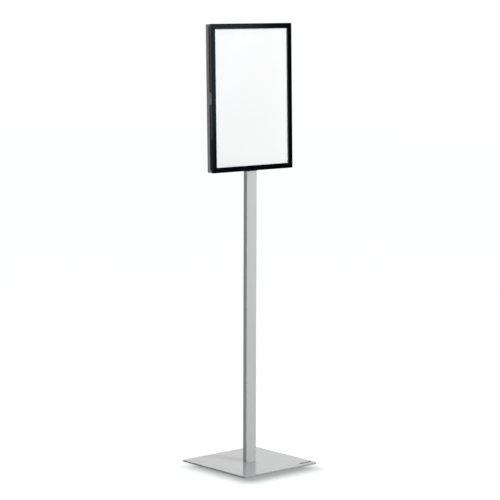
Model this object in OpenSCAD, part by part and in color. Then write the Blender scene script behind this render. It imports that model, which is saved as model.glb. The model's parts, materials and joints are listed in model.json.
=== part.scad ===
// Free-standing sign holder: a square base plate, a rectangular tube as the
// pole, and a shallow display case with a glazed front cover. The cover is
// hinged on its right side and held shut by magnets on its left side.
//
// Millimetres, +Z up. The display faces -Y and the origin is on the floor,
// under the middle of the base plate.

/* [Base] */
// Side of the square base plate
base_w = 300; // [240:5:400]
// Thickness of the base plate
base_t = 5; // [4:0.5:8]
// Corner radius of the base plate
base_corner_r = 9; // [3:1:20]
// Diameter of each rubber foot
foot_d = 22; // [16:1:30]
// Height of each rubber foot
foot_h = 2.5; // [2:0.5:4]
// Distance from the plate's edges to the middle of each foot
foot_inset = 32; // [20:1:60]
// Width of the blank badge on the base plate
badge_w = 45; // [20:1:60]
// Depth of the blank badge on the base plate
badge_d = 6; // [4:0.5:12]

/* [Pole] */
// Width of the pole, seen from the front
pole_w = 40; // [38:1:60]
// Depth of the pole, from front to back
pole_d = 16; // [16:0.5:18]
// Wall thickness of the pole
pole_wall = 2; // [1.5:0.25:2]
// Length of the pole
pole_len = 910; // [400:0.5:1400]

/* [Display] */
// Width of the insert sheet
sheet_w = 297; // [210:1:420]
// Height of the insert sheet
sheet_h = 420; // [297:1:594]
// How far the cover's border laps over the sheet on each side
sheet_lap = 2; // [1:0.5:3]
// Width of the cover's border
border_w = 16; // [15.5:0.5:25]
// Depth of the whole display, from front to back
head_depth = 26.5; // [26.5:0.5:32]
// Angle by which the display leans back, in degrees
head_lean = 1.2; // [0:0.1:3]

/* [Cover] */
// Thickness of the cover's border, from front to back
cover_t = 8.3; // [8:0.1:8.7]
// Depth of the groove between the border and the side rails
groove_d = 6.2; // [6.2:0.1:7]
// Thickness of the clear pane
pane_t = 1.5; // [1.2:0.1:2]
// Height of the finger notch in the left edge of the cover
notch_h = 40; // [25:1:60]
// Diameter of the hinge pins
pin_d = 2.5; // [2:0.1:2.8]

/* [Hidden] */
$fn = 48;

silver = "silver";
pale_grey = "gainsboro";
gloss_black = "black";
white = "white";
steel = "lightsteelblue";
dark_rubber = "dimgray";

// Overshoot that makes a cut pass its own face
eps = 0.5;
// Gap between the moving cover and the fixed display case
play = 0.3;

// Base
plate_top = foot_h + base_t;
badge_t = 0.8;
badge_corner_r = 1;
badge_x = 0.392 * base_w;
badge_y = -0.433 * base_w;
base_screw_x = 11;
base_screw_d = 6;
base_screw_head_d = 11;
base_screw_head_h = 2.5;
base_screw_len = 24;

// Pole and what it holds
pole_corner_r = 1;
pole_bore_d = pole_d - 2 * pole_wall;
block_play = 0.2;
block_w = pole_w - 2 * (pole_wall + block_play);
block_h = 50;
block_screw_stop = 2;
block_screw_z = plate_top + 36;
wall_screw_d = 4;
wall_screw_head_d = 7.5;
wall_screw_head_h = 2.2;
bracket_w = 32;
bracket_t = 4;
bracket_leg = 85;
bracket_top = 150;
bracket_bend = 8;
bracket_bend_above_rail = 2;
bracket_overlap = 2;
slot_play = 0.3;
bracket_screw_drop = [25, 65];

// Display case. In its own frame X runs to the right, Y backwards from the
// front face of the cover, and Z up from the cover's lower edge.
window_w = sheet_w - 2 * sheet_lap;
window_h = sheet_h - 2 * sheet_lap;
head_w = window_w + 2 * border_w;
head_h = window_h + 2 * border_w;
neck_gap = 0.5;
neck_z = plate_top + pole_len + neck_gap;
head_front = 15.5;
case_inset = 1;
case_w = head_w - 2 * case_inset;
case_corner_r = 3;
panel_t = 2.5;
panel_y = head_depth - panel_t;
rail_w = 5;
top_rail_h = 7;
bottom_rail_h = 9;
rails_low = case_inset + bottom_rail_h;
rails_high = head_h - case_inset - top_rail_h;
rail_front_y = cover_t + groove_d;
end_rail_front_y = cover_t + play;
side_rail_x = case_w / 2 - rail_w / 2;
side_screw_z = [0.054, 0.247, 0.5, 0.753, 0.946] * head_h;
end_screw_x = [-0.375, -0.125, 0.125, 0.375] * head_w;
panel_screw_d = 2.5;
panel_screw_head_d = 4.6;
panel_screw_head_h = 1.3;
panel_screw_len = 9;
bracket_hole_x = 10;
bracket_hole_z = [60, 130];
bracket_screw_head_h = panel_t - 0.3;

// Hinge on the right side of the display
bead_play = 0.2;
bead_r = groove_d / 2 - bead_play;
hinge_x = head_w / 2 - bead_r;
hinge_y = cover_t + groove_d / 2;
nose_r = hinge_y - end_rail_front_y;
washer_t = 0.8;
bead_low = rails_low + washer_t + play;
bead_high = rails_high - washer_t - play;
pin_in_bead = 14;
pin_in_rail = 6;
pin_clearance = 0.05;
bore_spare = 1;
swing_setback = 1.8;
swing_rail_y = rail_front_y + swing_setback;
lip_setback = 0.6;
lip_x = hinge_x - lip_setback;
lip_play = 0.1;

// Cover
pane_y = 1.6;
pane_lap = 5;
retainer_y = pane_y + pane_t;
retainer_t = 2;
retainer_setback = 3;
seat_lap = 9.5;
fit_gap = 0.2;
seat_x = window_w / 2 + seat_lap + fit_gap;
skirt_t = 3;
skirt_play = 0.4;
skirt_back_y = rail_front_y - skirt_play;
notch_above_middle = 2;
notch_low = head_h / 2 + notch_above_middle - notch_h / 2;
notch_high = notch_low + notch_h;
notch_slant = 6.5;
notch_y = 3.6;
notch_play = 0.4;
tongue_setback = 1.7;
tongue_x = case_w / 2 - tongue_setback;
magnet_z = [0.135, 0.359, 0.641, 0.865] * head_h;
magnet_len = 25;
magnet_w = 2.6;
magnet_depth = 5;
keeper_w = 2;
keeper_t = 1.5;
retainer_screw_d = 2;
retainer_screw_head_d = 3.4;
retainer_screw_head_t = 1;
retainer_screw_len = 3.6;
retainer_screw_lap = (pane_lap + fit_gap + seat_lap) / 2;
retainer_side_z = [0.07, 0.285, 0.5, 0.715, 0.93] * head_h;
retainer_end_x = [-0.31, 0, 0.31] * head_w;

// Backing board and what it carries
board_t = 3;
board_gap = 1;
board_margin = 5;
board_w = sheet_w + 2 * board_margin;
sheet_t = 0.4;
sheet_play = 0.6;
board_y = retainer_y + retainer_t + sheet_play + sheet_t;
sheet_low = border_w - sheet_lap;
lip_h = 1.5;
lip_t = 0.8;
spacer_d = 10;
spacer_x = 0.37 * sheet_w;
spacer_z = [0.135, 0.5, 0.865] * head_h;
board_screw_d = 3;
board_screw_head_d = 5.6;
board_screw_head_h = 1.6;
board_screw_short = 0.5;

// ---- Shared shapes ----

// Puts its children, drawn in the display's own frame, on top of the pole.
module in_head() {
    translate([0, 0, neck_z]) rotate([-head_lean, 0, 0]) translate([0, -head_front, 0]) children();
}

// Rectangle with round corners, centred.
module rounded_rect(w, h, r) {
    square([w - 2 * r, h], center = true);
    square([w, h - 2 * r], center = true);
    for (x = [-1, 1], y = [-1, 1])
        translate([x * (w / 2 - r), y * (h / 2 - r)]) circle(r = r);
}

// Extrudes an outline drawn in the display's X-Z plane from depth y0 to y1.
module slab(y0, y1) {
    translate([0, y1, 0]) rotate([90, 0, 0]) linear_extrude(y1 - y0) children();
}

// Outline round the middle of the display, reaching lap past the window.
module lapped_window(lap) {
    translate([0, head_h / 2]) square([window_w + 2 * lap, window_h + 2 * lap], center = true);
}

// Rounded outline of the display case, seen from the front.
module case_outline() {
    translate([0, head_h / 2])
        rounded_rect(case_w, head_h - 2 * case_inset, case_corner_r);
}

// Points the +Z end of its children backwards.
module facing_back() {
    rotate([-90, 0, 0]) children();
}

// Points the +Z end of its children to the front.
module facing_front() {
    rotate([90, 0, 0]) children();
}

// Countersunk screw with a hexagon socket. Its flat face is at z = 0 and its
// tip is below.
module countersunk_screw(d, head_d, head_h, len) {
    difference() {
        union() {
            translate([0, 0, -head_h]) cylinder(h = head_h, d1 = d, d2 = head_d);
            translate([0, 0, -len]) cylinder(h = len - head_h / 2, d = d);
        }
        translate([0, 0, -head_h * 0.6]) cylinder(h = head_h, d = head_d * 0.4, $fn = 6);
    }
}

// Space for a countersunk screw, with the same face and direction.
module countersunk_hole(d, head_d, head_h, len) {
    translate([0, 0, -head_h]) cylinder(h = head_h, d1 = d, d2 = head_d);
    translate([0, 0, -len]) cylinder(h = len, d = d);
    cylinder(h = eps, d = head_d);
}

// Screw with a low round head, which stands on z = 0.
module round_head_screw(d, head_d, head_h, len) {
    difference() {
        union() {
            cylinder(h = head_h * 0.5, d = head_d);
            translate([0, 0, head_h * 0.5]) cylinder(h = head_h * 0.5, d1 = head_d, d2 = head_d * 0.7);
            translate([0, 0, -len]) cylinder(h = len + head_h * 0.2, d = d);
        }
        translate([0, 0, head_h * 0.4]) cylinder(h = head_h, d = head_d * 0.4, $fn = 6);
    }
}

// ---- Places where things repeat ----

module at_feet() {
    reach = base_w / 2 - foot_inset;
    for (x = [-reach, reach], y = [-reach, reach]) translate([x, y, 0]) children();
}

module at_base_screws() {
    for (x = [-base_screw_x, base_screw_x])
        translate([x, 0, foot_h]) rotate([180, 0, 0]) children();
}

module at_block_screws() {
    for (x = [-base_screw_x, base_screw_x])
        translate([x, pole_d / 2, block_screw_z]) facing_back() children();
}

module at_bracket_screws() {
    for (drop = bracket_screw_drop)
        translate([0, pole_d / 2, plate_top + pole_len - drop]) facing_back() children();
}

module at_panel_screws() {
    for (x = [-side_rail_x, side_rail_x], z = side_screw_z)
        translate([x, head_depth, z]) facing_back() children();
    for (x = end_screw_x, z = [case_inset + bottom_rail_h / 2, rails_high + top_rail_h / 2])
        translate([x, head_depth, z]) facing_back() children();
}

module at_bracket_holes() {
    for (x = [-bracket_hole_x, bracket_hole_x], z = bracket_hole_z)
        translate([x, head_depth, z]) facing_back() children();
}

module at_spacers(y) {
    for (x = [-spacer_x, spacer_x], z = spacer_z) translate([x, y, z]) children();
}

module at_magnets(y) {
    for (z = magnet_z) translate([-side_rail_x, y, z]) children();
}

module at_retainer_screws() {
    x_side = window_w / 2 + retainer_screw_lap;
    z_end = window_h / 2 + retainer_screw_lap;
    for (x = [-x_side, x_side], z = retainer_side_z)
        translate([x, retainer_y + retainer_t, z]) facing_back() children();
    for (x = retainer_end_x, z = [-z_end, z_end])
        translate([x, retainer_y + retainer_t, head_h / 2 + z]) facing_back() children();
}

// ---- Base ----

module base_plate() {
    color(silver) difference() {
        translate([0, 0, foot_h]) linear_extrude(base_t) rounded_rect(base_w, base_w, base_corner_r);
        at_base_screws()
            countersunk_hole(base_screw_d, base_screw_head_d, base_screw_head_h, base_t + eps);
    }
}

module base_feet() {
    color(dark_rubber) at_feet() {
        cylinder(h = foot_h * 0.3, d1 = foot_d - 1, d2 = foot_d);
        translate([0, 0, foot_h * 0.3]) cylinder(h = foot_h * 0.7, d = foot_d);
    }
}

module base_badge() {
    color(dark_rubber) translate([badge_x, badge_y, plate_top])
        linear_extrude(badge_t) rounded_rect(badge_w, badge_d, badge_corner_r);
}

module base_screws() {
    color(steel) at_base_screws()
        countersunk_screw(base_screw_d, base_screw_head_d, base_screw_head_h, base_screw_len);
}

// ---- Pole ----

module pole() {
    color(silver) difference() {
        translate([0, 0, plate_top]) linear_extrude(pole_len) difference() {
            rounded_rect(pole_w, pole_d, pole_corner_r);
            square([pole_w - 2 * pole_wall, pole_bore_d], center = true);
        }
        at_block_screws() translate([0, 0, -pole_wall - eps])
            cylinder(h = pole_wall + 2 * eps, d = wall_screw_d);
        at_bracket_screws() translate([0, 0, -pole_wall - eps])
            cylinder(h = pole_wall + 2 * eps, d = wall_screw_d);
    }
}

// Metal block in the foot of the pole, which the base screws pull on.
module foot_block() {
    color(steel) difference() {
        translate([-block_w / 2, -pole_bore_d / 2, plate_top]) cube([block_w, pole_bore_d, block_h]);
        at_base_screws() translate([0, 0, -base_screw_len]) cylinder(h = base_screw_len, d = base_screw_d);
        at_block_screws() translate([0, 0, -pole_d + pole_wall + block_screw_stop])
            cylinder(h = pole_d, d = wall_screw_d);
    }
}

module foot_block_screws() {
    color(steel) at_block_screws()
        round_head_screw(wall_screw_d, wall_screw_head_d, wall_screw_head_h,
            pole_d - pole_wall - block_screw_stop);
}

// Flat steel arm that stands in the pole and carries the display.
module head_bracket() {
    arm_back = pole_bore_d / 2;
    arm_y = head_front + arm_back - bracket_t;
    bend_low = rails_low + bracket_bend_above_rail;
    bend_high = bend_low + bracket_bend;
    color(steel) difference() {
        union() {
            translate([-bracket_w / 2, arm_back - bracket_t, neck_z - bracket_leg])
                cube([bracket_w, bracket_t, bracket_leg]);
            in_head() translate([bracket_w / 2, 0, 0]) rotate([0, -90, 0])
                linear_extrude(bracket_w) polygon([
                    [-bracket_overlap, arm_y], [bend_low, arm_y],
                    [bend_high, panel_y - bracket_t], [bracket_top, panel_y - bracket_t],
                    [bracket_top, panel_y], [bend_high, panel_y],
                    [bend_low, arm_y + bracket_t], [-bracket_overlap, arm_y + bracket_t]
                ]);
        }
        at_bracket_screws() translate([0, 0, -pole_d / 2]) cylinder(h = pole_d / 2, d = wall_screw_d);
        in_head() at_bracket_holes() translate([0, 0, -panel_t - bracket_t - eps])
            cylinder(h = bracket_t + 2 * eps, d = wall_screw_d);
    }
}

module bracket_screws() {
    color(steel) at_bracket_screws()
        round_head_screw(wall_screw_d, wall_screw_head_d, wall_screw_head_h, pole_wall + bracket_t);
}

// ---- Display case ----

module back_panel() {
    color(silver) in_head() difference() {
        slab(panel_y, head_depth) case_outline();
        at_panel_screws()
            countersunk_hole(panel_screw_d, panel_screw_head_d, panel_screw_head_h, panel_t + eps);
        at_bracket_holes()
            countersunk_hole(wall_screw_d, wall_screw_head_d, bracket_screw_head_h, panel_t + eps);
        at_spacers(panel_y - eps) facing_back() cylinder(h = panel_t, d = board_screw_d);
    }
}

module panel_screws() {
    color(steel) in_head() at_panel_screws()
        countersunk_screw(panel_screw_d, panel_screw_head_d, panel_screw_head_h, panel_screw_len);
}

module bracket_panel_screws() {
    color(steel) in_head() at_bracket_holes()
        countersunk_screw(wall_screw_d, wall_screw_head_d, bracket_screw_head_h, panel_t + bracket_t);
}

// Outline of the top and bottom rails, seen from above. The right end is
// rounded about the hinge pin and stepped back, so that the cover can turn.
module end_rail_plan() {
    left = -case_w / 2;
    translate([left, end_rail_front_y]) square([hinge_x - left, panel_y - end_rail_front_y]);
    translate([hinge_x, hinge_y]) circle(r = nose_r);
    translate([left, hinge_y]) square([lip_x - left, panel_y - hinge_y]);
    translate([left, swing_rail_y]) square([case_w, panel_y - swing_rail_y]);
}

// Rail along the top or the bottom of the case, from height z0 to z1.
module end_rail(z0, z1) {
    difference() {
        intersection() {
            translate([0, 0, z0]) linear_extrude(z1 - z0) end_rail_plan();
            slab(0, head_depth) union() {
                case_outline();
                translate([0, rails_low]) square([head_w / 2, rails_high - rails_low]);
                translate([0, z0]) square([hinge_x + nose_r, z1 - z0]);
            }
        }
        at_panel_screws() translate([0, 0, -panel_screw_len])
            cylinder(h = panel_screw_len, d = panel_screw_d);
    }
}

module top_rail() {
    color(silver) in_head() difference() {
        end_rail(rails_high, rails_high + top_rail_h);
        translate([hinge_x, hinge_y, rails_high - eps]) cylinder(h = pin_in_rail + eps, d = pin_d);
    }
}

module bottom_rail() {
    arm_y = head_front + pole_bore_d / 2 - bracket_t;
    color(silver) in_head() difference() {
        end_rail(case_inset, rails_low);
        translate([hinge_x, hinge_y, rails_low - pin_in_rail]) cylinder(h = pin_in_rail + eps, d = pin_d);
        translate([-bracket_w / 2 - slot_play, arm_y - slot_play, 0])
            cube([bracket_w + 2 * slot_play, bracket_t + 2 * slot_play, rails_low + eps]);
    }
}

// Side view of the finger notch up to the depth back, with its height along X.
module notch_outline(back) {
    polygon([
        [notch_low, notch_y], [notch_high - notch_slant, notch_y],
        [notch_high, rail_front_y], [notch_high, back], [notch_low, back]
    ]);
}

// A tongue on its front closes the back of the finger notch.
module left_rail() {
    color(silver) in_head() difference() {
        union() {
            translate([-case_w / 2, rail_front_y, rails_low])
                cube([rail_w, panel_y - rail_front_y, rails_high - rails_low]);
            translate([-seat_x - notch_play, 0, 0]) rotate([0, -90, 0])
                linear_extrude(tongue_x - seat_x - notch_play)
                    offset(delta = -notch_play) notch_outline(rail_front_y + notch_play + eps);
        }
        at_magnets(rail_front_y) translate([-magnet_w / 2, -eps, -magnet_len / 2])
            cube([magnet_w, magnet_depth + eps, magnet_len]);
        at_panel_screws() translate([0, 0, -panel_screw_len])
            cylinder(h = panel_screw_len, d = panel_screw_d);
    }
}

// The front edge on this side is stepped back to let the cover turn past it.
module right_rail() {
    inner_x = case_w / 2 - rail_w;
    length = rails_high - rails_low;
    color(silver) in_head() difference() {
        union() {
            translate([inner_x, swing_rail_y, rails_low]) cube([rail_w, panel_y - swing_rail_y, length]);
            translate([inner_x, rail_front_y + lip_play, rails_low])
                cube([lip_x - inner_x, panel_y - rail_front_y - lip_play, length]);
        }
        at_panel_screws() translate([0, 0, -panel_screw_len])
            cylinder(h = panel_screw_len, d = panel_screw_d);
    }
}

module board_spacers() {
    color(pale_grey) in_head() at_spacers(board_y + board_t) facing_back() difference() {
        cylinder(h = panel_y - board_y - board_t, d = spacer_d);
        translate([0, 0, -eps]) cylinder(h = panel_y, d = board_screw_d);
    }
}

// Stiff white board behind the sheet, with a lip that the sheet stands on.
module backing_board() {
    low = rails_low + board_gap;
    high = rails_high - board_gap;
    color(white) in_head() difference() {
        union() {
            translate([-board_w / 2, board_y, low]) cube([board_w, board_t, high - low]);
            translate([-sheet_w / 2, board_y - lip_t, low]) cube([sheet_w, lip_t + board_t, lip_h]);
        }
        at_spacers(board_y) facing_front()
            countersunk_hole(board_screw_d, board_screw_head_d, board_screw_head_h, board_t + eps);
    }
}

module board_screws() {
    color(steel) in_head() at_spacers(board_y) facing_front()
        countersunk_screw(board_screw_d, board_screw_head_d, board_screw_head_h,
            head_depth - board_y - board_screw_short);
}

module insert_sheet() {
    color(white) in_head() translate([-sheet_w / 2, board_y - sheet_t, sheet_low])
        cube([sheet_w, sheet_t, sheet_h]);
}

module latch_magnets() {
    color(dark_rubber) in_head() at_magnets(rail_front_y)
        translate([-magnet_w / 2, 0, -magnet_len / 2]) cube([magnet_w, magnet_depth, magnet_len]);
}

module hinge_pins() {
    length = pin_in_rail + washer_t + play + pin_in_bead;
    color(steel) in_head() for (z = [rails_low - pin_in_rail, rails_high + pin_in_rail - length])
        translate([hinge_x, hinge_y, z]) cylinder(h = length, d = pin_d);
}

module hinge_washers() {
    color(white) in_head() for (z = [rails_low, rails_high - washer_t])
        translate([hinge_x, hinge_y, z]) difference() {
            cylinder(h = washer_t, r = nose_r - fit_gap);
            translate([0, 0, -eps]) cylinder(h = washer_t + 2 * eps, d = pin_d);
        }
}

// ---- Cover ----

// Border, the skirt behind its left side and the hinge bead behind its right.
// The finger notch is cut into the border's left side and through the skirt.
module cover_frame() {
    bore_h = pin_in_bead + bore_spare + eps;
    color(gloss_black) in_head() difference() {
        union() {
            slab(0, cover_t) translate([0, head_h / 2])
                rounded_rect(head_w, head_h, case_corner_r + case_inset);
            translate([-side_rail_x - skirt_t / 2, cover_t - eps, rails_low + skirt_play])
                cube([skirt_t, skirt_back_y - cover_t + eps, rails_high - rails_low - 2 * skirt_play]);
            translate([hinge_x, hinge_y, bead_low]) cylinder(h = bead_high - bead_low, r = bead_r);
            translate([hinge_x - bead_r, cover_t - eps, bead_low])
                cube([2 * bead_r, hinge_y - cover_t + eps, bead_high - bead_low]);
        }
        slab(-eps, cover_t + eps) lapped_window(0);
        slab(pane_y, cover_t + eps) lapped_window(pane_lap + fit_gap);
        slab(retainer_y, cover_t + eps) lapped_window(seat_lap + fit_gap);
        translate([-seat_x, 0, 0]) rotate([0, -90, 0]) linear_extrude(head_w / 2)
            notch_outline(rail_front_y + eps);
        at_magnets(skirt_back_y - keeper_t) translate([-keeper_w / 2, 0, -magnet_len / 2])
            cube([keeper_w, keeper_t + eps, magnet_len]);
        at_retainer_screws() translate([0, 0, -retainer_screw_len])
            cylinder(h = retainer_screw_len, d = retainer_screw_d);
        for (z = [bead_low - eps, bead_high + eps - bore_h])
            translate([hinge_x, hinge_y, z]) cylinder(h = bore_h, r = pin_d / 2 + pin_clearance);
    }
}

module cover_pane() {
    color("aliceblue", 0.4) in_head() slab(pane_y, retainer_y) lapped_window(pane_lap);
}

module pane_retainer() {
    color(gloss_black) in_head() difference() {
        slab(retainer_y, retainer_y + retainer_t) difference() {
            lapped_window(seat_lap);
            lapped_window(retainer_setback);
        }
        at_retainer_screws() translate([0, 0, -retainer_t - eps])
            cylinder(h = retainer_t + 2 * eps, d = retainer_screw_d);
        at_retainer_screws() translate([0, 0, -retainer_screw_head_t])
            cylinder(h = retainer_screw_head_t + eps, d = retainer_screw_head_d);
    }
}

module retainer_screws() {
    color(steel) in_head() at_retainer_screws() difference() {
        union() {
            translate([0, 0, -retainer_screw_head_t])
                cylinder(h = retainer_screw_head_t, d = retainer_screw_head_d);
            translate([0, 0, -retainer_screw_len])
                cylinder(h = retainer_screw_len - retainer_screw_head_t / 2, d = retainer_screw_d);
        }
        translate([0, 0, -retainer_screw_head_t * 0.6])
            cylinder(h = retainer_screw_head_t, d = retainer_screw_head_d * 0.45, $fn = 6);
    }
}

module keeper_strips() {
    color(steel) in_head() at_magnets(skirt_back_y - keeper_t)
        translate([-keeper_w / 2, 0, -magnet_len / 2]) cube([keeper_w, keeper_t, magnet_len]);
}

base_plate();
base_feet();
base_badge();
base_screws();
pole();
foot_block();
foot_block_screws();
head_bracket();
bracket_screws();
back_panel();
panel_screws();
bracket_panel_screws();
top_rail();
bottom_rail();
left_rail();
right_rail();
board_spacers();
backing_board();
board_screws();
insert_sheet();
latch_magnets();
hinge_pins();
hinge_washers();
cover_frame();
cover_pane();
pane_retainer();
retainer_screws();
keeper_strips();
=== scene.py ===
"""Looks of the sign stand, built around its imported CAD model.

Metres, +Z up, the display faces -Y. The display leans back a little, so its cover is cut in an upright
frame, the display frame, and then tilted: X to the right, Y backwards, Z up.
"""

import json
import math

import bmesh
import bpy
from mathutils import Matrix, Vector

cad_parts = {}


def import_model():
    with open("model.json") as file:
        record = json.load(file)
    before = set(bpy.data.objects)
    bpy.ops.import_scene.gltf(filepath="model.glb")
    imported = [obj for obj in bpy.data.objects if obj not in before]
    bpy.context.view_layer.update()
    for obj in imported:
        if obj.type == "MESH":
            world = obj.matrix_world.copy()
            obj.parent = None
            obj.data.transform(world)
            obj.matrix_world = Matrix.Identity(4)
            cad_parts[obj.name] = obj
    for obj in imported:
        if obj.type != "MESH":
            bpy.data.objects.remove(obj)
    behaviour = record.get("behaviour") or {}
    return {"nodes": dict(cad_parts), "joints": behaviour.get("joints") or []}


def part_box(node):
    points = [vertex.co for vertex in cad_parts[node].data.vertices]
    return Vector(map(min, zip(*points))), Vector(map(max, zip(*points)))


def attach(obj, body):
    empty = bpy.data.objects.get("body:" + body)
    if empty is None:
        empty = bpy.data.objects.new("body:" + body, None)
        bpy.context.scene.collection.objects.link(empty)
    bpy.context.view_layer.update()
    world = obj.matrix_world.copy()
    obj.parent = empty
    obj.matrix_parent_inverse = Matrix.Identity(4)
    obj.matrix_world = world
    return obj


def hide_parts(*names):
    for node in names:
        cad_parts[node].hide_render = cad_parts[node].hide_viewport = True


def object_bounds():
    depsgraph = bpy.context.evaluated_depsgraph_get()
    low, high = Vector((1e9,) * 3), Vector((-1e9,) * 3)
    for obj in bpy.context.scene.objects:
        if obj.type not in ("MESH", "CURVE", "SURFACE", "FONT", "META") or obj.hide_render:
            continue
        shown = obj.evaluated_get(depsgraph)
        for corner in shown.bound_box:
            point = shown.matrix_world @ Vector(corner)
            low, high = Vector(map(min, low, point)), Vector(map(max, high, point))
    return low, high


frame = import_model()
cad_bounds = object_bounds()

MM = 0.001

# ---- Values ----

# Shapes
BORDER_DEPTH = 8.3 * MM  # the cover's border, from front to back
BORDER_ROUNDING = 0.9 * MM  # its front edges
BORDER_EDGES = 0.12 * MM  # its other edges
SKIRT_EDGES = 0.25 * MM
PLATE_ROUNDING = 2.1 * MM  # outline of the base plate
PLATE_STRIP = 12 * MM  # strip that holds the outline, a little more than its corner radius
PLATE_EDGES = 0.3 * MM
ROUNDING_SEGMENTS = 5
NEARLY = 0.01 * MM  # closer than this counts as touching
SAME_POINT = 0.001 * MM  # closer than this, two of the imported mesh's points are one
SAME_PLANE = math.radians(0.2)  # less than this between two of its faces, and they are one
SOFTENED_CORNER = math.radians(30)  # sharper corners than this are softened
ROUNDED_CORNER = math.radians(45)  # sharper marked corners than this are rounded

# Materials
NOISE_LOW, NOISE_HIGH = 0.3, 0.7  # nearly all of a noise lies between these

# Camera
CAMERA_YAW = 41.38  # degrees from looking along +Y towards +X
CAMERA_PITCH = 7.30  # degrees below the horizon
CAMERA_ROLL = 0.16
CAMERA_DISTANCE = 6.330
CAMERA_REACH = 100
CAMERA_AIM = 0.4916  # share of the stand's height
LENS, SENSOR = 147.9, 36.0

# Floor
FLOOR_RADIUS = 14.0
FLOOR_SEGMENTS = 96
FLOOR_DROP = 0.1 * MM  # below the rubber feet
FLOOR_COLOUR = (0.08, 0.08, 0.08, 1)
FLOOR_GLOW_COLOUR = (0.985, 0.993, 1, 1)
FLOOR_GLOW = 0.975  # brightness in the picture
FLOOR_BOUNCE = 0.31  # brightness that lights the object
FLOOR_MIRRORED = 0.17  # brightness that the object's gloss reflects
# Soft shadow of the base plate on the floor
SHADOW_SHIFT = (0.031, 0.050)  # towards -X and -Y
SHADOW_INSIDE = 0.043  # how far inside the base's outline it starts to fade
SHADOW_OUTSIDE = 0.055  # how far outside it has gone
SHADOW_DEPTH = 0.65  # share of the floor's brightness that it takes away
SHADOW_POWER = 1.46  # above 1, it fades sooner

# Studio around the object. Each lobe is a direction, its radius and soft edge in degrees, and its level.
UP = (0.0, 0.0, 1.0)
AMBIENT = 0.045
CEILING = (UP, 45, 15, 0.50)
SWEEP = ((0.139, 0.990, 0.0), 50, 5, 0.95)  # bright wall behind the object
SWEEP_TOP = (UP, 62, 8, 1.0)  # what the wall doesn't reach
HORIZON_LEVEL = 0.45  # paler band all round
HORIZON_BOTTOM = (UP, 88, 2, HORIZON_LEVEL)
HORIZON_TOP = (UP, 68, 8, HORIZON_LEVEL)
SOFTBOX = ((0.062, -0.965, 0.251), 39.95, 0.45, 0.34)  # its edge crosses the clear pane
SOFTBOX_TINT = (0.75, 1.0, 1.2)
FLAG = ((0.916, -0.346, -0.195), 29.6, 0.5, 0.94)  # keeps light off one side
BACKDROP = (1.01, 1.01, 1.01, 1)  # what the picture shows of it

# Lights
LIGHT_COLOUR = (1.0, 0.965, 0.95)
LIGHT_DISTANCE = 3.2
LIGHT_AIM = 0.8  # share of the stand's height
KEY = ((0.30, -0.90, 0.28), 0.9, 88)  # direction, size and power
BACK_FILL = ((0.50, 0.85, 0.12), 1.6, 45)


# ---- Display frame ----

# The hinge's axis leans back with the display
hinge_axis = Vector(frame["joints"][0]["axis"])
TILT = Matrix.Rotation(-math.atan2(hinge_axis.y, hinge_axis.z), 4, "X")
UPRIGHT = TILT.inverted()


# ---- Shader nodes ----


def feed(tree, socket, value):
    """Links a socket to another one, or sets its value."""
    if isinstance(value, bpy.types.NodeSocket):
        tree.links.new(value, socket)
    else:
        socket.default_value = value


def maths(tree, operation, a, b=0.0):
    made = tree.nodes.new("ShaderNodeMath")
    made.operation = operation
    feed(tree, made.inputs[0], a)
    feed(tree, made.inputs[1], b)
    return made.outputs["Value"]


def mix_colours(tree, share, first, second):
    """The first colour where share is 0, the second where it is 1."""
    made = tree.nodes.new("ShaderNodeMix")
    made.data_type = "RGBA"
    tree.links.new(share, made.inputs["Factor"])
    colours = [s for s in made.inputs if s.type == "RGBA"]
    feed(tree, colours[0], first)
    feed(tree, colours[1], second)
    return [s for s in made.outputs if s.type == "RGBA"][0]


def rise(tree, source, low, high, level=1.0):
    """0 where source is low, rising softly to level where it is high."""
    made = tree.nodes.new("ShaderNodeMapRange")
    made.interpolation_type = "SMOOTHSTEP"
    tree.links.new(source, made.inputs["Value"])
    made.inputs["From Min"].default_value = low
    made.inputs["From Max"].default_value = high
    made.inputs["To Max"].default_value = level
    return made.outputs["Result"]


def straight_view(tree):
    """1 for what the camera sees directly or through the clear pane, 0 for light and reflections."""
    path = tree.nodes.new("ShaderNodeLightPath").outputs
    bounced = maths(tree, "ADD", path["Diffuse Depth"], path["Glossy Depth"])
    straight = maths(tree, "LESS_THAN", bounced, 0.5)
    looked = maths(tree, "MAXIMUM", path["Is Camera Ray"], path["Is Transmission Ray"])
    return maths(tree, "MULTIPLY", looked, straight)


# ---- Materials ----


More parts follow.
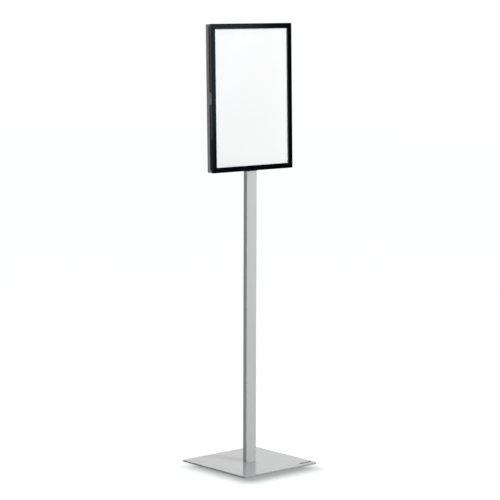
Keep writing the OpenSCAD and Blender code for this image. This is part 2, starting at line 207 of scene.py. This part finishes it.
class Surface:
    """A Principled material whose patterns lie in the piece's own coordinates, in metres."""

    def __init__(self, name, **values):
        self.material = bpy.data.materials.new(name)
        self.material.use_nodes = True
        self.tree = self.material.node_tree
        self.shader = self.tree.nodes["Principled BSDF"]
        for key, value in values.items():
            socket = key.replace("_", " ").title().replace("Ior", "IOR")
            self.shader.inputs[socket].default_value = value
        self.place = self.tree.nodes.new("ShaderNodeTexCoord").outputs["Object"]
        self.normal = None

    def node(self, kind, **settings):
        made = self.tree.nodes.new(kind)
        for key, value in settings.items():
            setattr(made, key, value)
        return made

    def link(self, source, target):
        self.tree.links.new(source, target)

    def noise(self, per_metre, stretch=(1, 1, 1), detail=3.0, distortion=0.0):
        """Soft noise from 0 to 1. stretch lengthens the pattern along an axis."""
        mapping = self.node("ShaderNodeMapping")
        mapping.inputs["Scale"].default_value = [per_metre / s for s in stretch]
        self.link(self.place, mapping.inputs["Vector"])
        made = self.node("ShaderNodeTexNoise")
        made.inputs["Scale"].default_value = 1.0
        made.inputs["Detail"].default_value = detail
        made.inputs["Distortion"].default_value = distortion
        self.link(mapping.outputs["Vector"], made.inputs["Vector"])
        return made.outputs["Fac"]

    def cells(self, per_metre):
        """Rounded cells, 0 in the middle of each."""
        made = self.node("ShaderNodeTexVoronoi", feature="SMOOTH_F1")
        made.inputs["Scale"].default_value = per_metre
        self.link(self.place, made.inputs["Vector"])
        return made.outputs["Distance"]

    def ramp(self, source, low, high, to_low=0.0, to_high=1.0):
        """source from low..high onto to_low..to_high."""
        made = self.node("ShaderNodeMapRange")
        made.inputs["From Min"].default_value = low
        made.inputs["From Max"].default_value = high
        made.inputs["To Min"].default_value = to_low
        made.inputs["To Max"].default_value = to_high
        self.link(source, made.inputs["Value"])
        return made.outputs["Result"]

    def sum(self, a, b, share=1.0):
        """a + share * b"""
        made = self.node("ShaderNodeMath", operation="MULTIPLY_ADD")
        made.inputs[1].default_value = share
        self.link(b, made.inputs[0])
        self.link(a, made.inputs[2])
        return made.outputs["Value"]

    def colour(self, source, dark, light, low=NOISE_LOW, high=NOISE_HIGH):
        """Base colour from dark where source is low to light where it is high."""
        share = self.ramp(source, low, high)
        self.link(mix_colours(self.tree, share, (*dark, 1), (*light, 1)), self.shader.inputs["Base Color"])

    def roughness(self, source, least, greatest):
        spread = self.ramp(source, NOISE_LOW, NOISE_HIGH, least, greatest)
        self.link(spread, self.shader.inputs["Roughness"])

    def relief(self, source, depth):
        """Adds bumps of that depth in metres on top of those already there."""
        made = self.node("ShaderNodeBump")
        made.inputs["Distance"].default_value = depth
        self.link(source, made.inputs["Height"])
        if self.normal is not None:
            self.link(self.normal, made.inputs["Normal"])
        self.normal = made.outputs["Normal"]
        self.link(self.normal, self.shader.inputs["Normal"])


# In these functions each pattern's number is its fineness per metre, and depths are in metres.


def paint(name, dark, light, rough, flakes=2600, clouds=18, peel=420, depth=0.008 * MM):
    """Silver powder paint: fine flakes, and the faint orange peel of a sprayed and baked coat."""
    s = Surface(name, metallic=0.10, coat_weight=1.0, coat_roughness=0.06)
    cloudy = s.noise(clouds)
    s.colour(s.sum(s.noise(flakes, detail=1.0), cloudy, 0.25), dark, light, low=0.4, high=0.85)
    s.roughness(cloudy, *rough)
    s.relief(s.noise(peel, detail=2.0), depth)
    return s.material


def anodised(name, dark, light, rough, along, lines=1500, bands=240, depth=0.01 * MM):
    """Satin anodised aluminium with fine drawing lines along it."""
    s = Surface(name, metallic=0.06)
    fine = s.noise(lines, along, detail=2.0)
    wide = s.noise(bands, along, detail=1.0)
    s.colour(s.sum(fine, wide, 0.4), dark, light, low=0.45, high=0.95)
    s.roughness(wide, *rough)
    s.relief(fine, depth)
    return s.material


def moulded(name, dark, light, rough, grain=900, depth=0.03 * MM, clouds=30, **values):
    """Moulded plastic with an etched grain and slight cloudiness."""
    s = Surface(name, **values)
    s.colour(s.noise(clouds), dark, light)
    s.roughness(s.noise(grain / 4, detail=2.0), *rough)
    s.relief(s.cells(grain), depth)
    return s.material


def steel(name, dark, light, rough, spangle=900, gloss=300, depth=0.01 * MM):
    """Zinc plated or blackened steel: spangled tone and uneven gloss."""
    s = Surface(name, metallic=1.0)
    spangled = s.noise(spangle, detail=3.0, distortion=0.6)
    s.colour(spangled, dark, light)
    s.roughness(s.noise(gloss), *rough)
    s.relief(spangled, depth)
    return s.material


def gloss_black(name, dark, light, rough, rubs=60, ripple=160, depth=0.001 * MM):
    """Polished black plastic, with the faint rub marks that cleaning leaves."""
    # The blue tint of its reflections is painted: it stands for the blue cast of the studio's light.
    s = Surface(name, ior=1.6, specular_tint=(0.84, 0.95, 1.0, 1.0))
    rubbed = s.noise(rubs, (1, 1, 5), detail=4.0, distortion=1.5)
    s.colour(rubbed, dark, light)
    s.roughness(rubbed, *rough)
    s.relief(s.noise(ripple, detail=1.0), depth)
    return s.material


def clear_acrylic(name, dark, light, clouds=6):
    """Clear sheet plastic, polished on both faces."""
    s = Surface(name, transmission_weight=1.0, ior=1.49, roughness=0.0)
    s.colour(s.noise(clouds), dark, light)
    return s.material


def paper(name, dark, light, rough, fibre, depth=0.02 * MM):
    """Uncoated white sheet: short fibres, and the slightest unevenness of tone."""
    s = Surface(name, specular_ior_level=0.2)
    fibres = s.sum(s.noise(fibre, (3, 1, 1), detail=2.0), s.noise(fibre, (1, 1, 3), detail=2.0))
    s.colour(fibres, dark, light, low=0.6, high=1.4)
    s.roughness(s.noise(fibre / 3), *rough)
    s.relief(fibres, depth)
    return s.material


# Each slot: its darkest and lightest colour, its least and greatest roughness, and what else is its own
MATERIALS = {
    "base_paint": paint("base_paint", (0.38, 0.384, 0.386), (0.447, 0.452, 0.454), (0.34, 0.44)),
    "pole_aluminium": anodised(
        "pole_aluminium", (0.527, 0.529, 0.522), (0.573, 0.575, 0.569), (0.36, 0.44), (1, 1, 260)),
    "case_silver": moulded("case_silver", (0.392, 0.393, 0.394), (0.422, 0.423, 0.424), (0.42, 0.55)),
    # The blue in this black is painted: it stands for the blue cast of the studio's light.
    "cover_black": gloss_black(
        "cover_black", (0.0008, 0.0012, 0.0018), (0.0012, 0.0018, 0.0028), (0.02, 0.05)),
    "retainer_black": moulded(
        "retainer_black", (0.006, 0.006, 0.007), (0.011, 0.011, 0.012), (0.5, 0.65), grain=700,
        specular_ior_level=0.15),
    "pane_clear": clear_acrylic("pane_clear", (0.968, 0.972, 0.968), (0.978, 0.982, 0.978)),
    "board_white": paper("board_white", (0.84, 0.845, 0.845), (0.88, 0.885, 0.885), (0.75, 0.9), fibre=500),
    "sheet_paper": paper("sheet_paper", (0.872, 0.872, 0.872), (0.90, 0.90, 0.90), (0.75, 0.9), fibre=900),
    "zinc_steel": steel("zinc_steel", (0.46, 0.47, 0.47), (0.62, 0.63, 0.64), (0.28, 0.45)),
    "black_screw_steel": steel(
        "black_screw_steel", (0.018, 0.018, 0.020), (0.040, 0.040, 0.042), (0.35, 0.5)),
    "block_aluminium": anodised(
        "block_aluminium", (0.50, 0.50, 0.51), (0.62, 0.62, 0.63), (0.3, 0.45), (1, 120, 1)),
    "magnet_ferrite": moulded(
        "magnet_ferrite", (0.030, 0.030, 0.031), (0.055, 0.055, 0.056), (0.5, 0.65), grain=1200,
        depth=0.02 * MM),
    "nylon_white": moulded("nylon_white", (0.66, 0.66, 0.63), (0.74, 0.74, 0.71), (0.35, 0.5), grain=700),
    "foot_rubber": moulded(
        "foot_rubber", (0.012, 0.012, 0.012), (0.026, 0.026, 0.026), (0.7, 0.85), grain=1000,
        depth=0.05 * MM),
    "badge_dark": moulded(
        "badge_dark", (0.020, 0.021, 0.023), (0.034, 0.035, 0.038), (0.3, 0.4), grain=1500),
}


# ---- Pieces ----


def add_piece(mesh, name, body, slot, *nodes):
    """Puts a finished mesh in the scene as a piece that stands for CAD nodes."""
    mesh.materials.clear()
    mesh.materials.append(MATERIALS[slot])
    piece = bpy.data.objects.new(name, mesh)
    bpy.context.scene.collection.objects.link(piece)
    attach(piece, body)
    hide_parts(*nodes)
    return piece


def cad_mesh(node, name):
    """The node's mesh with its flat faces whole again."""
    bm = bmesh.new()
    bm.from_mesh(frame["nodes"][node].data)
    bmesh.ops.remove_doubles(bm, verts=bm.verts, dist=SAME_POINT)
    bmesh.ops.dissolve_limit(bm, angle_limit=SAME_PLANE, verts=bm.verts, edges=bm.edges)
    mesh = bpy.data.meshes.new(name)
    bm.to_mesh(mesh)
    bm.free()
    return mesh


def soften(piece, width, segments=3):
    """Rounds the edges of a piece and smooths its shading."""
    piece.data.shade_smooth()
    bevel = piece.modifiers.new("edges", "BEVEL")
    bevel.width, bevel.segments = width, segments
    bevel.limit_method, bevel.angle_limit = "ANGLE", SOFTENED_CORNER
    bevel.harden_normals = True
    bevel.miter_outer = "MITER_ARC"
    normals = piece.modifiers.new("shading", "WEIGHTED_NORMAL")
    normals.keep_sharp = True
    return piece


def mark_edges(mesh, chosen):
    """Marks the corners whose points are chosen, for round_marked."""
    bm = bmesh.new()
    bm.from_mesh(mesh)
    weight = bm.edges.layers.float.new("bevel_weight_edge")
    for edge in bm.edges:
        if edge.calc_face_angle(0) > ROUNDED_CORNER and all(chosen(v.co) for v in edge.verts):
            edge[weight] = 1.0
    bm.to_mesh(mesh)
    bm.free()


def round_marked(piece, width):
    rounding = piece.modifiers.new("rounding", "BEVEL")
    rounding.width, rounding.segments = width, ROUNDING_SEGMENTS
    rounding.limit_method = "WEIGHT"
    rounding.harden_normals = True
    return piece


def refine(node, body, slot, width):
    """A CAD node in its final shape: rounded edges, smooth shading and its own material."""
    return soften(add_piece(cad_mesh(node, node), node + "_piece", body, slot, node), width)


def base_plate():
    """The base plate, whose outline is rounded more than its screw holes."""
    mesh = cad_mesh("base_plate", "base_plate")
    _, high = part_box("base_plate")
    strip_x, strip_y = high.x - PLATE_STRIP, high.y - PLATE_STRIP
    mark_edges(mesh, lambda point: abs(point.x) > strip_x or abs(point.y) > strip_y)
    piece = add_piece(mesh, "base_plate_piece", "stand", "base_paint", "base_plate")
    return soften(round_marked(piece, PLATE_ROUNDING), PLATE_EDGES)


def cover_half(name, slot, front):
    """The CAD cover frame in front of or behind its border's back face, its front edges marked."""
    mesh = cad_mesh("cover_frame", name)
    mesh.transform(UPRIGHT)
    front_y = min(v.co.y for v in mesh.vertices)
    bm = bmesh.new()
    bm.from_mesh(mesh)
    cut = bmesh.ops.bisect_plane(
        bm, geom=bm.verts[:] + bm.edges[:] + bm.faces[:], clear_inner=not front, clear_outer=front,
        plane_co=(0, front_y + BORDER_DEPTH - NEARLY, 0), plane_no=(0, 1, 0))
    bmesh.ops.holes_fill(bm, edges=[e for e in cut["geom_cut"] if isinstance(e, bmesh.types.BMEdge)])
    bm.to_mesh(mesh)
    bm.free()
    mark_edges(mesh, lambda point: point.y < front_y + NEARLY)
    mesh.transform(TILT)
    return add_piece(mesh, name, "cover", slot, "cover_frame")


def cover_border():
    """The cover's black border, with its front edges rounded more than the others."""
    piece = cover_half("cover_border", "cover_black", True)
    return soften(round_marked(piece, BORDER_ROUNDING), BORDER_EDGES, segments=2)


def cover_back():
    """What stands behind the border: the skirt and the hinge bead."""
    return soften(cover_half("cover_skirt_and_bead", "retainer_black", False), SKIRT_EDGES)


# CAD node, material slot, and how wide its edges are softened
for node, slot, width in (
    ("base_feet", "foot_rubber", 0.4 * MM),
    ("base_badge", "badge_dark", 0.25 * MM),
    ("base_screws", "zinc_steel", 0.1 * MM),
    ("pole", "pole_aluminium", 0.3 * MM),
    ("foot_block", "block_aluminium", 0.3 * MM),
    ("foot_block_screws", "black_screw_steel", 0.15 * MM),
    ("head_bracket", "zinc_steel", 0.3 * MM),
    ("bracket_screws", "black_screw_steel", 0.15 * MM),
    ("back_panel", "case_silver", 0.4 * MM),
    ("panel_screws", "black_screw_steel", 0.08 * MM),
    ("bracket_panel_screws", "black_screw_steel", 0.08 * MM),
    ("top_rail", "case_silver", 0.4 * MM),
    ("bottom_rail", "case_silver", 0.4 * MM),
    ("left_rail", "case_silver", 0.3 * MM),
    ("right_rail", "case_silver", 0.3 * MM),
    ("board_spacers", "nylon_white", 0.1 * MM),
    ("backing_board", "board_white", 0.2 * MM),
    ("board_screws", "zinc_steel", 0.08 * MM),
    ("insert_sheet", "sheet_paper", 0.05 * MM),
    ("latch_magnets", "magnet_ferrite", 0.2 * MM),
    ("hinge_pins", "zinc_steel", 0.2 * MM),
    ("hinge_washers", "nylon_white", 0.1 * MM),
):
    refine(node, "stand", slot, width)

for node, slot, width in (
    ("pane_retainer", "retainer_black", 0.2 * MM),
    ("retainer_screws", "black_screw_steel", 0.08 * MM),
    ("keeper_strips", "zinc_steel", 0.1 * MM),
):
    refine(node, "cover", slot, width)

base_plate()
cover_border()
cover_back()
pane = refine("cover_pane", "cover", "pane_clear", 0.15 * MM)
# Light passes the clear pane as if it were not there, so that it reaches the sheet once
pane.visible_shadow = False
pane.visible_diffuse = False


# ---- Floor, light and camera ----


def floor():
    """A pale floor with the base plate's soft shadow in its material."""
    bm = bmesh.new()
    bmesh.ops.create_circle(bm, cap_ends=True, segments=FLOOR_SEGMENTS, radius=FLOOR_RADIUS)
    mesh = bpy.data.meshes.new("floor")
    bm.to_mesh(mesh)
    bm.free()
    made = bpy.data.objects.new("floor", mesh)
    bpy.context.scene.collection.objects.link(made)
    made.location.z = -FLOOR_DROP

    s = Surface("floor_paper", base_color=FLOOR_COLOUR, roughness=0.9, specular_ior_level=0.0)
    s.shader.inputs["Emission Color"].default_value = FLOOR_GLOW_COLOUR
    _, plate_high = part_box("base_plate")
    split = s.node("ShaderNodeSeparateXYZ")
    s.link(s.place, split.inputs["Vector"])
    under = []
    for axis, shift, half in zip("XY", SHADOW_SHIFT, plate_high):
        away = maths(s.tree, "ABSOLUTE", maths(s.tree, "ADD", split.outputs[axis], shift))
        under.append(rise(s.tree, away, half + SHADOW_OUTSIDE, half - SHADOW_INSIDE))
    dark = maths(s.tree, "POWER", maths(s.tree, "MULTIPLY", *under), SHADOW_POWER)
    shade = maths(s.tree, "SUBTRACT", 1.0, maths(s.tree, "MULTIPLY", dark, SHADOW_DEPTH))

    picture = maths(s.tree, "MULTIPLY", shade, FLOOR_GLOW)
    seen = straight_view(s.tree)
    unseen = maths(s.tree, "SUBTRACT", 1.0, seen)
    mirrored = s.node("ShaderNodeLightPath").outputs["Is Glossy Ray"]
    glow = s.sum(maths(s.tree, "MULTIPLY", picture, seen), unseen, FLOOR_BOUNCE)
    glow = s.sum(glow, mirrored, FLOOR_MIRRORED - FLOOR_BOUNCE)
    s.link(glow, s.shader.inputs["Emission Strength"])
    mesh.materials.append(s.material)


def world():
    """A studio that lights the object, and a white backdrop for the camera."""
    made = bpy.data.worlds.new("studio")
    bpy.context.scene.world = made
    made.use_nodes = True
    tree = made.node_tree
    direction = tree.nodes.new("ShaderNodeTexCoord").outputs["Generated"]

    def lobe(centre, radius, soft, level):
        """level around centre, fading to 0 where it is radius away, over soft on either side."""
        dot = tree.nodes.new("ShaderNodeVectorMath")
        dot.operation = "DOT_PRODUCT"
        dot.inputs[1].default_value = Vector(centre).normalized()
        tree.links.new(direction, dot.inputs[0])
        outer = math.cos(math.radians(radius + soft))
        inner = math.cos(math.radians(radius - soft))
        return rise(tree, dot.outputs["Value"], outer, inner, level)

    def tinted(level, tint, below=(0.0, 0.0, 0.0)):
        """level times tint, added to the colour below."""
        node = tree.nodes.new("ShaderNodeVectorMath")
        node.operation = "MULTIPLY_ADD"
        tree.links.new(level, node.inputs[0])
        node.inputs[1].default_value = tint
        feed(tree, node.inputs[2], below)
        return node.outputs["Vector"]

    wall = maths(tree, "MULTIPLY", maths(tree, "SUBTRACT", 1.0, lobe(*SWEEP_TOP)), lobe(*SWEEP))
    horizon = maths(tree, "SUBTRACT", lobe(*HORIZON_BOTTOM), lobe(*HORIZON_TOP))
    room = maths(tree, "ADD", maths(tree, "MAXIMUM", wall, horizon), lobe(*CEILING))
    room = maths(tree, "ADD", room, AMBIENT)
    flag = maths(tree, "SUBTRACT", 1.0, lobe(*FLAG))
    light = tinted(maths(tree, "MULTIPLY", room, flag), (1.0, 1.0, 1.0))
    light = tinted(maths(tree, "MULTIPLY", lobe(*SOFTBOX), flag), SOFTBOX_TINT, light)
    shown = mix_colours(tree, straight_view(tree), light, BACKDROP)
    tree.links.new(shown, tree.nodes["Background"].inputs["Color"])


def area_light(name, direction, size, power):
    """A round light that faces the display from that direction."""
    light = bpy.data.lights.new(name, "AREA")
    light.shape, light.size, light.energy = "DISK", size, power
    light.color = LIGHT_COLOUR
    made = bpy.data.objects.new(name, light)
    bpy.context.scene.collection.objects.link(made)
    back = Vector(direction).normalized()
    made.location = Vector((0, 0, cad_bounds[1].z * LIGHT_AIM)) + back * LIGHT_DISTANCE
    made.rotation_mode = "QUATERNION"
    made.rotation_quaternion = back.to_track_quat("Z", "Y")
    made.visible_glossy = False
    made.visible_camera = False


def camera():
    """The camera at the photograph's viewing angle."""
    made = bpy.data.objects.new("camera", bpy.data.cameras.new("camera"))
    bpy.context.scene.collection.objects.link(made)
    made.data.lens, made.data.sensor_width = LENS, SENSOR
    made.data.clip_end = CAMERA_REACH
    yaw, pitch = math.radians(CAMERA_YAW), math.radians(CAMERA_PITCH)
    forward = Vector((math.sin(yaw) * math.cos(pitch), math.cos(yaw) * math.cos(pitch), -math.sin(pitch)))
    low, high = cad_bounds
    aim = Vector(((low.x + high.x) / 2, (low.y + high.y) / 2, low.z + CAMERA_AIM * (high.z - low.z)))
    made.location = aim - CAMERA_DISTANCE * forward
    made.rotation_mode = "QUATERNION"
    roll = Matrix.Rotation(math.radians(CAMERA_ROLL), 4, "Z").to_quaternion()
    made.rotation_quaternion = (-forward).to_track_quat("Z", "Y") @ roll
    bpy.context.scene.camera = made


floor()
world()
area_light("key", *KEY)
area_light("back_fill", *BACK_FILL)
camera()
bpy.context.scene.view_settings.view_transform = "Standard"
